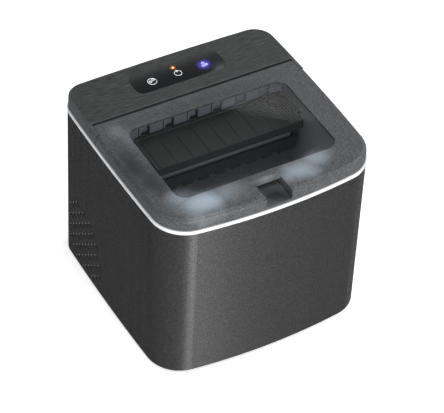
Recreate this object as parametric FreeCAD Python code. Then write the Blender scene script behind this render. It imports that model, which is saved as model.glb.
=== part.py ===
import FreeCAD, Part
import math
import os

# Countertop bullet-ice maker, millimetres. +Z is up, the front faces -Y, and the origin is the
# centre of the footprint on the worktop.

# ---- driving dimensions ----
width = 286.0
depth = 284.0
height = 250.0
front_bow = 12.5          # how far the front face bulges past its corners
side_bow = 3.0
rear_bow = 2.0
front_radius = 44.0       # upright corners
rear_radius = 27.0
foot_height = 4.0
body_top = 229.0          # top edge of the wrapped sheet body
ring_top = 234.0          # top of the bright trim ring
sheet = 2.0               # thickness of the body wrap
pan_thick = 2.5           # thickness of the floor
skin = 3.0                # thickness of the lid and cover mouldings
lid_inset = 1.2           # lid and cover stand this far inside the trim ring
gap = 0.4                 # clearance between pieces of different bodies
ear_gap = 1.2             # room in front of the ears for the lid's swinging edge
wrap_inset = 0.3          # the wrap stands this far inside the trim ring
shaft_play = 0.06         # radial clearance of a running shaft

seam_y = 65.5             # where the lid ends and the rear cover starts
hinge_y = 60.0
hinge_z = 245.0
barrel_radius = 5.0
ear_start_y = 45.0        # front end of the two hinge ears
ear_inner_x = 136.6       # inner face of each ear

window_half = 107.0       # clear window in the lid
window_front = -97.0
window_rear = 37.0
window_radius = 15.0

liner_inset = 22.0        # foam space between the body and the liner
liner_wall = 2.0
sump_floor = 26.0
sump_rear = 0.0
chamber_rear = 60.0

works_x = 6.0             # centre of the evaporator and tray, a little right of the middle
finger_count = 9
finger_pitch = 22.0
finger_y = 25.0
header_z = 209.0
finger_tip = 172.0
tray_axis_y = 44.0
tray_axis_z = 180.0
tray_half = 100.0
trough_y = 27.0
trough_radius = 19.0
tray_rim = 194.0
shaft_radius = 4.0

cover_left = -88.0        # plate above the evaporator
cover_right = 112.0
cover_front = -10.0
cover_rear = 50.0
cover_z = 216.0

fan_y = 68.0              # condenser and fan behind the left vents
fan_z = 56.0
fan_radius = 37.0
compressor_x = 58.0
compressor_y = 74.0
pump_x = -34.0
pump_y = 26.0
drier_x = -50.0
drier_y = 108.0
drain_y = -58.0
drain_z = 36.0

V = FreeCAD.Vector
os.makedirs("parts", exist_ok=True)


# ---- shape helpers ----
def box(x0, x1, y0, y1, z0, z1):
    """Block between two corners."""
    return Part.makeBox(x1 - x0, y1 - y0, z1 - z0, V(x0, y0, z0))


def rod(radius, start, end):
    """Round bar from one point to another."""
    a, b = V(*start), V(*end)
    return Part.makeCylinder(radius, (b - a).Length, a, b - a)


def collar(outer, inner, start, end):
    """Round tube from one point to another."""
    return rod(outer, start, end).cut(rod(inner, start, end))


def uprights(shape, keep):
    """Vertical edges whose (x, y) place passes the test."""
    found = []
    for edge in shape.Edges:
        a, b = edge.Vertexes[0].Point, edge.Vertexes[-1].Point
        if abs(a.x - b.x) < 1e-6 and abs(a.y - b.y) < 1e-6 and abs(a.z - b.z) > 0.1 and keep(a.x, a.y):
            found.append(edge)
    return found


def plan_prism(inset, z0, z1, top_round=0.0):
    """The object's plan, drawn in by an inset: four bowed sides and rounded upright corners."""
    half_w, half_d = width / 2 - inset, depth / 2 - inset
    corner_x = half_w - side_bow
    front, rear = -(half_d - front_bow), half_d - rear_bow
    fl, fr = V(-corner_x, front, z0), V(corner_x, front, z0)
    rr, rl = V(corner_x, rear, z0), V(-corner_x, rear, z0)
    sides = [Part.Arc(fl, V(0, -half_d, z0), fr), Part.Arc(fr, V(half_w, 0, z0), rr),
             Part.Arc(rr, V(0, half_d, z0), rl), Part.Arc(rl, V(-half_w, 0, z0), fl)]
    face = Part.Face(Part.Wire([side.toShape() for side in sides]))
    prism = face.extrude(V(0, 0, z1 - z0))
    prism = prism.makeFillet(front_radius - inset, uprights(prism, lambda x, y: y < 0))
    prism = prism.makeFillet(max(rear_radius - inset, 3.0), uprights(prism, lambda x, y: y > 0))
    if top_round:
        rim = [e for e in prism.Edges if all(abs(v.Z - z1) < 1e-6 for v in e.Vertexes)]
        prism = prism.makeFillet(top_round, rim)
    return prism


def rounded_block(x0, x1, y0, y1, z0, z1, radius):
    """Block with rounded upright corners."""
    block = box(x0, x1, y0, y1, z0, z1)
    return block.makeFillet(radius, uprights(block, lambda x, y: True))


def profile_x(points, x0, x1):
    """Prism along X with an outline given as (y, z) points."""
    corners = [V(x0, y, z) for y, z in points]
    return Part.Face(Part.makePolygon(corners + corners[:1])).extrude(V(x1 - x0, 0, 0))


def slot_x(length, breadth, x0, x1, y, z, tilt=0.0):
    """Round-ended slot cut along X; its long side lies along Y, tilted in degrees."""
    straight = (length - breadth) / 2
    dy, dz = straight * math.cos(math.radians(tilt)), straight * math.sin(math.radians(tilt))
    ends = [rod(breadth / 2, (x0, y + s * dy, z + s * dz), (x1, y + s * dy, z + s * dz)) for s in (-1, 1)]
    bar = box(x0, x1, y - straight, y + straight, z - breadth / 2, z + breadth / 2)
    bar.rotate(V(x0, y, z), V(1, 0, 0), tilt)
    return bar.fuse(ends)


def bent_tube(points, radius, bore=0.0, longest_reach=500.0):
    """Tube along straight runs joined by tangent arcs that reach at most so far back from a corner."""
    pts = [V(*p) for p in points]
    edges, start = [], pts[0]
    for before, corner, after in zip(pts, pts[1:], pts[2:]):
        back, ahead = before - corner, after - corner
        run = min(back.Length, ahead.Length)
        turn = math.pi - back.getAngle(ahead)
        reach = min(0.45 * run, longest_reach)
        bend = reach / math.tan(turn / 2)
        back.normalize()
        ahead.normalize()
        first, last = corner + back * reach, corner + ahead * reach
        middle = corner + (back + ahead).normalize() * (bend / math.cos(turn / 2) - bend)
        edges.append(Part.LineSegment(start, first).toShape())
        edges.append(Part.Arc(first, middle, last).toShape())
        start = last
    edges.append(Part.LineSegment(start, pts[-1]).toShape())
    path = Part.Wire(edges)
    swept = []
    for size in (radius, bore):
        if size:
            circle = Part.Wire(Part.makeCircle(size, pts[0], pts[1] - pts[0]))
            swept.append(path.makePipeShell([circle], True, True))
    return swept[0].cut(swept[1]) if len(swept) == 2 else swept[0]


def mirrored(shape):
    """The same shape on the other side of the middle plane."""
    return shape.mirror(V(0, 0, 0), V(1, 0, 0))


def screw(tip, head, shank_radius=1.6):
    """Pan-head screw: the shank runs from the tip to under the head."""
    a, b = V(*tip), V(*head)
    out = (b - a).normalize()
    cap = Part.makeCylinder(shank_radius * 2, shank_radius * 1.2, b, out)
    cross = Part.makeBox(shank_radius * 2, shank_radius * 0.5, shank_radius)
    cross.translate(V(-shank_radius, -shank_radius / 4, 0))
    cross.Placement = FreeCAD.Placement(b + out * shank_radius * 0.6,
                                        FreeCAD.Rotation(V(0, 0, 1), out)).multiply(cross.Placement)
    return rod(shank_radius, tip, head).fuse(cap).cut(cross)


def save(node, *solids):
    """Write one node; separate solids stay separate."""
    pieces = []
    for solid in solids:
        pieces.extend(solid.Solids)
    shape = pieces[0] if len(pieces) == 1 else Part.makeCompound(pieces)
    shape.exportStep("parts/" + node + ".step")
    print(node, len(pieces), "solids, valid", shape.isValid(), "volume %.1f cm3" % (shape.Volume / 1000))


def rounded_xz(x, z, w, h, y0, y1, radius):
    """Block along Y with its four long edges rounded, centred on (x, z)."""
    block = box(x - w / 2, x + w / 2, y0, y1, z - h / 2, z + h / 2)
    longs = [e for e in block.Edges if abs(e.Vertexes[0].Y - e.Vertexes[-1].Y) > 0.1]
    return block.makeFillet(radius, longs)


def half_loop(centre, radius, tube_radius, rear):
    """Return bend of a tube in the YZ plane, bulging to the rear or the front."""
    x, y, z = centre
    side = 1 if rear else -1
    arc = Part.Arc(V(x, y, z - radius), V(x, y + side * radius, z), V(x, y, z + radius))
    circle = Part.Wire(Part.makeCircle(tube_radius, V(x, y, z - radius), V(0, 1, 0)))
    return Part.Wire([arc.toShape()]).makePipeShell([circle], True, True)


# ---- casing ----
vent_column = 8.7         # forward step from one vent slot to the next
vent_climb = 7.5          # and how far it climbs
vent_row = 18.0           # drop from one slanting row to the next
vent_rows = [(0, 3), (0, 5), (0, 7), (0, 8), (1, 8), (2, 7), (5, 5), (7, 3)]   # first column, slots
vent_rear_y = 108.0
vent_top_z = 88.0
panel_half = 96.0         # opening in the back of the wrap
panel_low = 34.0
panel_high = 196.0
strut_rear = 135.0        # back face of the posts
inlet_x = -66.0
inlet_z = 58.0
strut_x = 88.0
panel_screws = [(x, z) for x in (-strut_x, strut_x) for z in (42, 115, 188)]
foot_places = [(x, y) for x in (-104, 104) for y in (-92, 98)]


def vent_slots():
    """Staggered round-ended slots through the left wall."""
    cuts = []
    for row, (first, count) in enumerate(vent_rows):
        for column in range(first, first + count):
            y = vent_rear_y - vent_column * column
            z = vent_top_z + vent_climb * column - vent_row * row
            cuts.append(slot_x(9.5, 2.0, -width / 2 - 2, -width / 2 + 9, y, z, 8))
    return Part.makeCompound(cuts)


def body_shell():
    """Seamless wrap of coated sheet, open at the top and bottom."""
    shell = plan_prism(wrap_inset, foot_height, body_top).cut(plan_prism(wrap_inset + sheet, 3, body_top + 1))
    shell = shell.cut(vent_slots()).cut(mirrored(vent_slots()))
    shell = shell.cut(box(-panel_half, panel_half, 120, 150, panel_low, panel_high))
    return shell.cut(rod(11.6, (130, drain_y, drain_z), (150, drain_y, drain_z)))


def rear_panel():
    """Louvred plate that closes the back of the wrap, with a flange behind its edge."""
    edge = 0.2
    plug = plan_prism(wrap_inset, 30, 200).common(
        box(-panel_half + edge, panel_half - edge, 137, 150, panel_low + edge, panel_high - edge))
    flange = box(-panel_half - 6, panel_half + 6, strut_rear + 0.2, 138.3, panel_low - 6, panel_high + 6)
    panel = plug.fuse(flange).removeSplitter()
    louvres = [box(x, x + 66, 130, 150, z, z + 4) for x in (-74, 8) for z in range(90, 186, 9)]
    holes = [rod(1.6, (x, 130, z), (x, 150, z)).fuse(rod(3.6, (x, 139, z), (x, 150, z)))
             for x, z in panel_screws]
    panel = panel.cut(Part.makeCompound(louvres)).cut(Part.makeCompound(holes))
    return panel.cut(rounded_xz(inlet_x, inlet_z, 28.2, 20.2, 130, 150, 2.6))


def rear_struts():
    """Two upright posts that the back panel and the rear cover are screwed to."""
    posts = []
    for x in (-strut_x, strut_x):
        post = box(x - 6, x + 6, 124, strut_rear, foot_height + pan_thick, ring_top - 0.2)
        holes = [rod(1.6, (px, 126, z), (px, 140, z)) for px, z in panel_screws if px == x]
        posts.append(post.cut(Part.makeCompound(holes + [rod(1.6, (x, 130, 222), (x, 130, 240))])))
    return posts


def base_pan():
    """Sheet floor with air slots and a hole for each foot."""
    pan = plan_prism(wrap_inset + sheet + 0.2, foot_height, foot_height + pan_thick)
    slots = [rounded_block(x, x + 5, -20, 24, 0, 10, 2.4) for x in range(-100, -58, 10)]
    stems = [rod(4, (x, y, 0), (x, y, 10)) for x, y in foot_places]
    return pan.cut(Part.makeCompound(slots + stems))


def rubber_feet():
    """Four turned rubber feet whose stems snap through the floor."""
    feet = []
    for x, y in foot_places:
        pad = rod(12, (x, y, 0), (x, y, foot_height))
        pad = pad.makeFillet(1.2, [e for e in pad.Edges if e.Vertexes[0].Z < 0.1 and e.Vertexes[-1].Z < 0.1])
        feet.append(pad.fuse(rod(4, (x, y, 1), (x, y, foot_height + 5))).removeSplitter())
    return feet


def trim_ring():
    """Bright band between the body and the lid."""
    return plan_prism(0, body_top, ring_top).cut(plan_prism(5.5, body_top - 1, ring_top + 1))


# ---- rear cover and controls ----
deck_drop = 1.4           # thickness of the grained deck plate
glass_x, glass_y = 0.0, 105.0
glass_w, glass_d = 122.0, 36.0
cover_screws = [(-strut_x, 130), (strut_x, 130)]


def top_cover():
    """Rear cover moulding with a front wall and two ears that carry the lid's hinge pins."""
    front = seam_y + 0.6
    outer = plan_prism(lid_inset, ring_top, height, 2.0)
    ears = [box(x, x + 20, ear_start_y, front + 1, 230, 260) for x in (-ear_inner_x - 20, ear_inner_x)]
    region = box(-150, 150, front, 150, 230, 260).multiFuse(ears)
    hollow = plan_prism(lid_inset + skin, ring_top - 1, height - skin - deck_drop)
    hollow = hollow.common(box(-150, 150, front + skin, 150, 230, 260))
    cover = outer.common(region).cut(hollow)
    cover = cover.cut(deck_blank(0.0))
    cover = cover.cut(rod(2, (-142, hinge_y, hinge_z), (142, hinge_y, hinge_z)))
    bosses = [rod(5, (x, y, ring_top - 0.2), (x, y, height - 4)).cut(rod(1.6, (x, y, 230), (x, y, height - 6)))
              for x, y in cover_screws]
    return cover.fuse(bosses).removeSplitter()


def deck_blank(clearance):
    """Outline of the pocket for the deck plate, or of the plate when a clearance is given."""
    plate = plan_prism(lid_inset + 2.4 + clearance, height - deck_drop, height + (0 if clearance else 1))
    return plate.common(box(-150, 150, seam_y + 2.0 + clearance, 150, 230, 260))


def glass_blank(clearance, z0, z1):
    """Rounded outline of the control glass."""
    half_w, half_d = glass_w / 2 - clearance, glass_d / 2 - clearance
    return rounded_block(glass_x - half_w, glass_x + half_w, glass_y - half_d, glass_y + half_d,
                         z0, z1, 10.0 - clearance)


def control_board():
    """Touch board under the control glass, with one spring pad under each symbol."""
    top = height - deck_drop - skin - 0.2
    board = box(glass_x - 56, glass_x + 56, glass_y - 14, glass_y + 14, top - 1.6, top)
    chip = box(glass_x - 5, glass_x + 5, glass_y - 5, glass_y + 5, top - 3.4, top - 1.6)
    plug = box(glass_x + 30, glass_x + 42, glass_y - 4, glass_y + 4, top - 6, top - 1.6)
    return board.fuse([chip, plug])


# ---- lid ----
notch_half = 17.0
notch_rear = -112.0


def lid_blank(inset, z0, z1, rear_half, rear_end, main_end, rear_low):
    """Lid plan between two heights: full width in front of the ears, narrower between them."""
    prism = plan_prism(inset, z0, z1, 5.0 if inset == lid_inset else 0)
    between = box(-rear_half, rear_half, main_end - 1, rear_end, rear_low, z1 + 1)
    return prism.common(box(-150, 150, -150, main_end, z0 - 1, z1 + 1).fuse(between))


def lid_frame():
    """Smoky lid moulding: top skin, skirt, hinge barrel, window opening and finger notch."""
    main_end = ear_start_y - ear_gap
    rear_half = ear_inner_x - gap
    shell = lid_blank(lid_inset, ring_top + gap, height, rear_half, hinge_y, main_end, 240)
    hollow = lid_blank(lid_inset + skin, ring_top, height - skin, rear_half - skin, hinge_y - 5.5,
                       main_end - skin, 230)
    shell = shell.cut(hollow)
    shell = shell.fuse(rod(barrel_radius, (-rear_half, hinge_y, hinge_z), (rear_half, hinge_y, hinge_z)))
    pocket = plan_prism(lid_inset, ring_top + gap, height - 0.5).common(
        box(-notch_half - 3, notch_half + 3, -150, -100, 230, height - 0.5))
    shell = shell.fuse(pocket)
    notch = profile_x([(-150, 260), (notch_rear, 260), (notch_rear, 246.4), (-106, 245.6), (-103, 242.5),
                       (-105, 238.2), (-122, 237.2), (-150, 238.8)], -notch_half, notch_half)
    shell = shell.cut(notch)
    shell = shell.cut(rounded_block(-window_half, window_half, window_front, window_rear, 244, 260,
                                    window_radius))
    pins = [rod(2 + shaft_play, (side * 125, hinge_y, hinge_z), (side * 140, hinge_y, hinge_z))
            for side in (-1, 1)]
    return shell.cut(Part.makeCompound(pins)).removeSplitter()


def lid_window():
    """Clear polished window with a thin flange glued under the lid's skin."""
    pane = rounded_block(-window_half, window_half, window_front, window_rear,
                         height - skin, height - 0.2, window_radius)
    flange = rounded_block(-window_half - 5, window_half + 5, window_front - 2.6, window_rear + 5,
                           height - skin - 1.6, height - skin, window_radius + 3)
    return pane.fuse(flange).removeSplitter()


def hinge_pins():
    """Two steel pins, pressed into the ears and running in the lid's barrel."""
    return [rod(2, (side * 126, hinge_y, hinge_z), (side * 140.5, hinge_y, hinge_z)) for side in (-1, 1)]


# ---- chamber ----
floor_front_z = 122.0     # underside of the chamber floor at the sump edge
floor_rear_z = 128.0
opening_top = 231.5
hose_x = -27.0
hose_z = 201.0
intake_z = 32.0
pipe_left, pipe_right = works_x - 100, works_x + 100


def chamber_side(extra):
    """Side outline of the liner: deep sump in front, shallow shelf under the tray behind."""
    low = sump_floor - liner_wall + extra
    return [(-150, low), (sump_rear - extra, low), (sump_rear - extra, floor_front_z + extra),
            (chamber_rear - extra, floor_rear_z + extra), (chamber_rear - extra, 240), (-150, 240)]


def inner_liner():
    """One-piece liner: reservoir, ice bay, tray shelf and top flange."""
    outer = plan_prism(liner_inset, 20, opening_top).common(profile_x(chamber_side(0), -150, 150))
    inner = plan_prism(liner_inset + liner_wall, 20, opening_top + 1).common(
        profile_x(chamber_side(liner_wall), -150, 150))
    flange = plan_prism(6, body_top, opening_top).common(box(-150, 150, -150, 64, 220, 240))
    liner = outer.fuse(flange).cut(inner)
    rails = []
    for side in (-1, 1):
        xs = sorted((side * 108, side * 121))
        rails.append(box(xs[0], xs[1], -88, -16, 60, 65.6))
    rails = Part.makeCompound(rails).common(plan_prism(liner_inset + 1, 20, 200))
    holes = [rod(shaft_radius + shaft_play, (-130, tray_axis_y, tray_axis_z), (130, tray_axis_y, tray_axis_z)),
             rod(8, (114, drain_y, drain_z), (130, drain_y, drain_z)),
             rod(4.5, (pump_x, -6, intake_z), (pump_x, 6, intake_z)),
             rod(5, (hose_x, 50, hose_z), (hose_x, 70, hose_z))]
    for x in (pipe_left, pipe_right):
        holes.append(rod(5.4, (x, 50, header_z), (x, 70, header_z)))
    return liner.fuse(rails.Solids).cut(Part.makeCompound(holes)).removeSplitter()


def foam_wrap():
    """Moulded foam around the front, the sides and the bottom of the liner."""
    wrap = plan_prism(wrap_inset + sheet + 0.3, 10, 228.6).cut(plan_prism(liner_inset - 0.2, 23.6, 240))
    wrap = wrap.common(box(-150, 150, -150, -3, 0, 240))
    return wrap.cut(rod(13.4, (110, drain_y, drain_z), (150, drain_y, drain_z)))


def evaporator_fingers():
    return [works_x + finger_pitch * (k - (finger_count - 1) / 2) for k in range(finger_count)]


def evaporator():
    """Plated header tube with nine round-tipped fingers; both ends run back through the liner."""
    header = bent_tube([(pipe_left, 78, header_z), (pipe_left, finger_y, header_z),
                        (pipe_right, finger_y, header_z), (pipe_right, 78, header_z)], 5.0, 0.0, 10.0)
    fingers = []
    for x in evaporator_fingers():
        finger = rod(4.5, (x, finger_y, finger_tip), (x, finger_y, header_z))
        tip = [e for e in finger.Edges if all(abs(v.Z - finger_tip) < 1e-6 for v in e.Vertexes)]
        fingers.append(finger.makeFillet(4.3, tip))
    return header.multiFuse(fingers).removeSplitter()


def evaporator_cover():
    """Ribbed plate over the evaporator, with a bracket at each end and a raised cross boss."""
    top = cover_z + 2.5
    plate = box(cover_left, cover_right, cover_front, cover_rear, cover_z, top)
    lip = rod(2.4, (cover_left, cover_rear - 2.4, top), (cover_right, cover_rear - 2.4, top))
    apron = box(cover_left, cover_right, cover_front, cover_front + 2, cover_z - 9, cover_z)
    ribs = [box(x - 0.6, x + 0.6, cover_front + 1, cover_rear - 5, top, top + 0.7) for x in evaporator_fingers()]
    brackets = [box(-117.2, cover_left, 6, 40, cover_z, top), box(cover_right, 117.2, 6, 40, cover_z, top)]
    cross_x, cross_y = cover_right - 13, cover_rear - 15
    cross = [box(cross_x - 11, cross_x + 11, cross_y - 4, cross_y + 4, top, top + 3.2),
             box(cross_x - 4, cross_x + 4, cross_y - 11, cross_y + 11, top, top + 3.2)]
    return plate.multiFuse([lip, apron] + ribs + brackets + cross).removeSplitter()


comb_bar_pitch = 33.0
comb_bar_first = -72.0


def rear_comb():
    """Upright light-grey screen behind the cover plate with six tall openings."""
    screen = box(-117.2, 117.2, 51, 53.6, cover_z, 238.4)
    cuts = []
    for k in range(6):
        x = comb_bar_first + comb_bar_pitch * k
        cuts.append(box(x - 6, x + 6, 50, 55, cover_z + 2, 236))
        cuts.append(box(x - 9.5, x - 8.3, 50, 55, cover_z + 2, 236))
    return screen.cut(Part.makeCompound(cuts))


def ice_sensors():
    """Infrared eyes on the two side walls that see a full basket."""
    eyes = []
    for side in (-1, 1):
        base = rod(6, (side * 118.2, -40, 168), (side * 113, -40, 168))
        eyes.append(base.fuse(rod(3, (side * 113, -40, 168), (side * 110.5, -40, 168))))
    return eyes


def level_probes():
    """Two steel probes that hang from a holder on the sump's rear wall, and the holder."""
    probes = [rod(1.2, (x, -7, 34), (x, -7, 100)) for x in (-96, -84)]
    holder = box(-101, -79, -12, -2.1, 92, 104).cut(Part.makeCompound(probes))
    return probes, holder


def tray_frame_end(x0, x1):
    """End plate of the tray."""
    low = tray_axis_z
    plate = box(x0, x1, trough_y - trough_radius, trough_y + trough_radius, low, tray_rim)
    return plate.fuse(rod(trough_radius, (x0, trough_y, low), (x1, trough_y, low)))


def water_tray():
    """Tilting trough under the fingers, with a stub shaft at each end."""
    x0, x1 = works_x - tray_half, works_x + tray_half
    trough = tray_frame_end(x0, x1)
    bore = trough_radius - 2
    cavity = rod(bore, (x0 + 2, trough_y, tray_axis_z), (x1 - 2, trough_y, tray_axis_z))
    cavity = cavity.fuse(box(x0 + 2, x1 - 2, trough_y - bore, trough_y + bore, tray_axis_z, tray_rim + 1))
    trough = trough.cut(cavity).cut(box(x0 - 1, x1 + 1, 0, 60, tray_rim, tray_rim + 20))
    stubs = [rod(shaft_radius, (x1 - 2, tray_axis_y, tray_axis_z), (134, tray_axis_y, tray_axis_z)),
             rod(shaft_radius, (-121.5, tray_axis_y, tray_axis_z), (x0 + 2, tray_axis_y, tray_axis_z))]
    return trough.multiFuse(stubs).removeSplitter()


shovel_inner = 41.0
shovel_outer = 43.5
shovel_angles = (172, 202)


def ice_shovel():
    """Curved comb on two arms that turns about the tray's axis and pushes the ice forward."""
    start, end = shovel_angles
    centre = (tray_axis_y, tray_axis_z)

    def spoke(angle, radius):
        return (centre[0] + radius * math.cos(math.radians(angle)),
                centre[1] + radius * math.sin(math.radians(angle)))
    x0, x1 = works_x - tray_half - 5, works_x + tray_half + 5
    wedge = [centre] + [spoke(a, 60) for a in range(start, end + 1, 6)]
    band = rod(shovel_outer, (x0, *centre), (x1, *centre)).cut(rod(shovel_inner, (x0, *centre), (x1, *centre)))
    band = band.common(profile_x(wedge, x0, x1))
    pieces = [band]
    for a, b in ((x0, x0 + 2.5), (x1 - 2.5, x1)):
        arm = profile_x(wedge, a, b).common(rod(shovel_outer, (a, *centre), (b, *centre)))
        pieces.append(arm.fuse(rod(8, (a, *centre), (b, *centre))))
    shovel = pieces[0].multiFuse(pieces[1:])
    slots = [box(x + 6, x + 16, -10, 40, 150, 171) for x in evaporator_fingers()[:-1]]
    bore = rod(shaft_radius + shaft_play, (x0 - 1, *centre), (x1 + 1, *centre))
    return shovel.cut(Part.makeCompound(slots)).cut(bore)


def tray_motor():
    """Flat geared motor beside the liner, with a bore for the tray's shaft."""
    y, z = tray_axis_y, tray_axis_z
    can = rod(24, (122.5, y, z), (137.8, y, z))
    strap = box(122.5, 124.5, y - 34, y + 34, z - 6, z + 6)
    holes = [rod(1.6, (120, py, z), (130, py, z)) for py in motor_screw_places]
    holes.append(rod(shaft_radius + shaft_play, (120, y, z), (136, y, z)))
    return can.fuse(strap).cut(Part.makeCompound(holes)).removeSplitter()


motor_screw_places = [tray_axis_y - 29, tray_axis_y + 29]


def water_spout():
    """Nozzle through the rear wall that fills the tray."""
    return collar(5, 3, (hose_x, 40, hose_z), (hose_x, 62, hose_z))


# ---- basket ----
basket_half = 104.0
basket_front = -106.0
basket_rear = -12.0
basket_low = 66.0
basket_top = 150.0
basket_rear_top = 121.0


def ice_basket():
    """Lift-out basket: slotted floor and walls, low rear rim and two finger slots."""
    outer = rounded_block(-basket_half, basket_half, basket_front, basket_rear, basket_low, basket_top, 24)
    inner = rounded_block(-basket_half + 2, basket_half - 2, basket_front + 2, basket_rear - 2,
                          basket_low + 2, basket_top + 1, 22)
    rim = rounded_block(-basket_half - 2.5, basket_half + 2.5, basket_front - 2.5, basket_rear,
                        basket_top - 2.5, basket_top, 24)
    basket = outer.fuse(rim).cut(inner)
    cuts = [box(-84, 84, basket_rear - 10, basket_rear + 5, basket_rear_top, basket_top + 1)]
    for x in range(-88, 92, 16):
        for y in (-94, -52):
            cuts.append(rounded_block(x, x + 5, y, y + 32, basket_low - 1, basket_low + 3, 2.4))
        cuts.append(box(x, x + 5, basket_front - 5, basket_front + 3, 82, 122))
    for y in range(-86, -34, 14):
        cuts.append(box(-120, 120, y, y + 5, 82, 118))
    cuts.append(box(-120, 120, -76, -40, basket_top - 19, basket_top - 8))
    return basket.cut(Part.makeCompound(cuts))


# ---- refrigeration and air ----
def compressor():
    """Welded compressor can on a foot plate."""
    can = rod(48, (compressor_x, compressor_y, 16), (compressor_x, compressor_y, 106))
    rims = [e for e in can.Edges if e.Length > 100 and abs(e.Vertexes[0].Z - e.Vertexes[-1].Z) < 0.1]
    can = can.makeFillet(16, rims)
    plate = rounded_block(compressor_x - 52, compressor_x + 52, compressor_y - 50, compressor_y + 50, 14, 17, 8)
    weld = rod(49, (compressor_x, compressor_y, 58), (compressor_x, compressor_y, 61))
    holes = [rod(4, (x, y, 10), (x, y, 20)) for x, y in mount_places()]
    return can.multiFuse([plate, weld]).cut(Part.makeCompound(holes)).removeSplitter()


def mount_places():
    return [(compressor_x + i * 44, compressor_y + j * 42) for i in (-1, 1) for j in (-1, 1)]


def compressor_mounts():
    """Four rubber grommets between the compressor's foot plate and the floor."""
    grommets = []
    for x, y in mount_places():
        grommets.append(rod(8, (x, y, foot_height + pan_thick), (x, y, 14)).fuse(rod(4, (x, y, 10), (x, y, 19))))
    return grommets


def terminal_cover():
    """Cap over the compressor's terminals."""
    cap = rounded_block(compressor_x - 62, compressor_x - 40, compressor_y - 16, compressor_y + 16, 66, 92, 3)
    return cap.cut(rod(49, (compressor_x, compressor_y, 58), (compressor_x, compressor_y, 61))).cut(compressor())


coil_x = -128.0
coil_levels = [20 + 14 * k for k in range(6)]


def condenser_coil():
    """Serpentine copper tube: six level runs joined by return bends."""
    runs = [rod(3.5, (coil_x, 22, z), (coil_x, 112, z)) for z in coil_levels]
    bends = [half_loop((coil_x, 22 if k % 2 == 0 else 112, z + 7), 7, 3.5, k % 2 == 1)
             for k, z in enumerate(coil_levels[:-1])]
    return runs[0].multiFuse(runs[1:] + bends)


def condenser_fins():
    """Thin aluminium plates on the coil."""
    coil = Part.makeCompound([rod(3.5, (coil_x, 10, z), (coil_x, 125, z)) for z in coil_levels])
    return [box(coil_x - 9, coil_x + 8, y, y + 0.8, 11, 99).cut(coil) for y in range(27, 110, 4)]


def fan_shroud():
    """Square duct with a three-legged motor mount."""
    x0, x1 = -117.5, -98.0
    duct = box(x0, x1, fan_y - 44, fan_y + 44, fan_z - 44, fan_z + 44)
    duct = duct.cut(rod(fan_radius + 2, (x0 - 1, fan_y, fan_z), (x1 + 1, fan_y, fan_z)))
    pieces = [rod(17, (x1 - 3, fan_y, fan_z), (x1, fan_y, fan_z))]
    for k in range(3):
        leg = box(x1 - 3, x1, fan_y, fan_y + 42, fan_z - 3, fan_z + 3)
        leg.rotate(V(x1, fan_y, fan_z), V(1, 0, 0), 90 + 120 * k)
        pieces.append(leg)
    return duct.multiFuse(pieces).cut(rod(4, (x1 - 10, fan_y, fan_z), (x1 + 2, fan_y, fan_z))).removeSplitter()


def fan_rotor():
    """Seven pitched blades and a hub on the motor's shaft."""
    hub = rod(14, (-115, fan_y, fan_z), (-103.5, fan_y, fan_z))
    blades = []
    for k in range(7):
        blade = box(-115, -104, fan_y - 0.8, fan_y + 0.8, fan_z + 10, fan_z + fan_radius)
        blade.rotate(V(-109.5, fan_y, fan_z), V(0, 0, 1), 48)
        blade.rotate(V(0, fan_y, fan_z), V(1, 0, 0), k * 360 / 7)
        blades.append(blade)
    sweep = rod(fan_radius, (-115, fan_y, fan_z), (-104, fan_y, fan_z))
    blades = [blade.common(sweep) for blade in blades]
    return hub.multiFuse(blades + [rod(2, (-104, fan_y, fan_z), (-86, fan_y, fan_z))]).removeSplitter()


def fan_motor():
    """Small shaded-pole style can behind the duct's mount."""
    can = rod(16, (-98, fan_y, fan_z), (-78, fan_y, fan_z))
    return can.cut(rod(2 + shaft_play, (-99, fan_y, fan_z), (-85, fan_y, fan_z)))


def filter_drier():
    """Copper drier between the condenser and the capillary."""
    x, y = drier_x, drier_y
    ends = [Part.makeCone(3, 8, 6, V(x, y, 44)), Part.makeCone(8, 2.4, 6, V(x, y, 100))]
    return rod(8, (x, y, 50), (x, y, 100)).multiFuse(ends)


def refrigerant_lines():
    """Copper lines between the compressor, condenser, drier and evaporator."""
    rear = 78.1
    discharge = bent_tube([(26, 115, 88), (6, 118, 108), (-62, 118, 118), (-112, 118, 112),
                           (coil_x, 124, 104), (coil_x, 126, coil_levels[-1]),
                           (coil_x, 112.2, coil_levels[-1])], 3.0)
    liquid = bent_tube([(coil_x, 112.2, coil_levels[0]), (coil_x, 124, coil_levels[0]), (-104, 121, 20),
                        (-66, 112, 19), (drier_x, drier_y, 22), (drier_x, drier_y, 43.8)], 2.6)
    capillary = bent_tube([(drier_x, drier_y, 106.2), (drier_x, drier_y, 140), (-70, 104, 170),
                           (pipe_left, 100, header_z), (pipe_left, rear, header_z)], 1.4)
    suction = bent_tube([(pipe_right, rear, header_z), (pipe_right, 98, header_z), (pipe_right - 4, 106, 168),
                         (78, 92, 138), (78, 92, 106.3)], 4.0)
    return discharge, liquid, capillary, suction


def hot_gas_valve():
    """Solenoid valve for the harvest: brass body and coil block."""
    body = rod(5, (-30, 112, 150), (-30, 112, 190))
    coil = rounded_block(-45, -15, 99, 125, 156, 184, 4).cut(body)
    return body, coil


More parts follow.
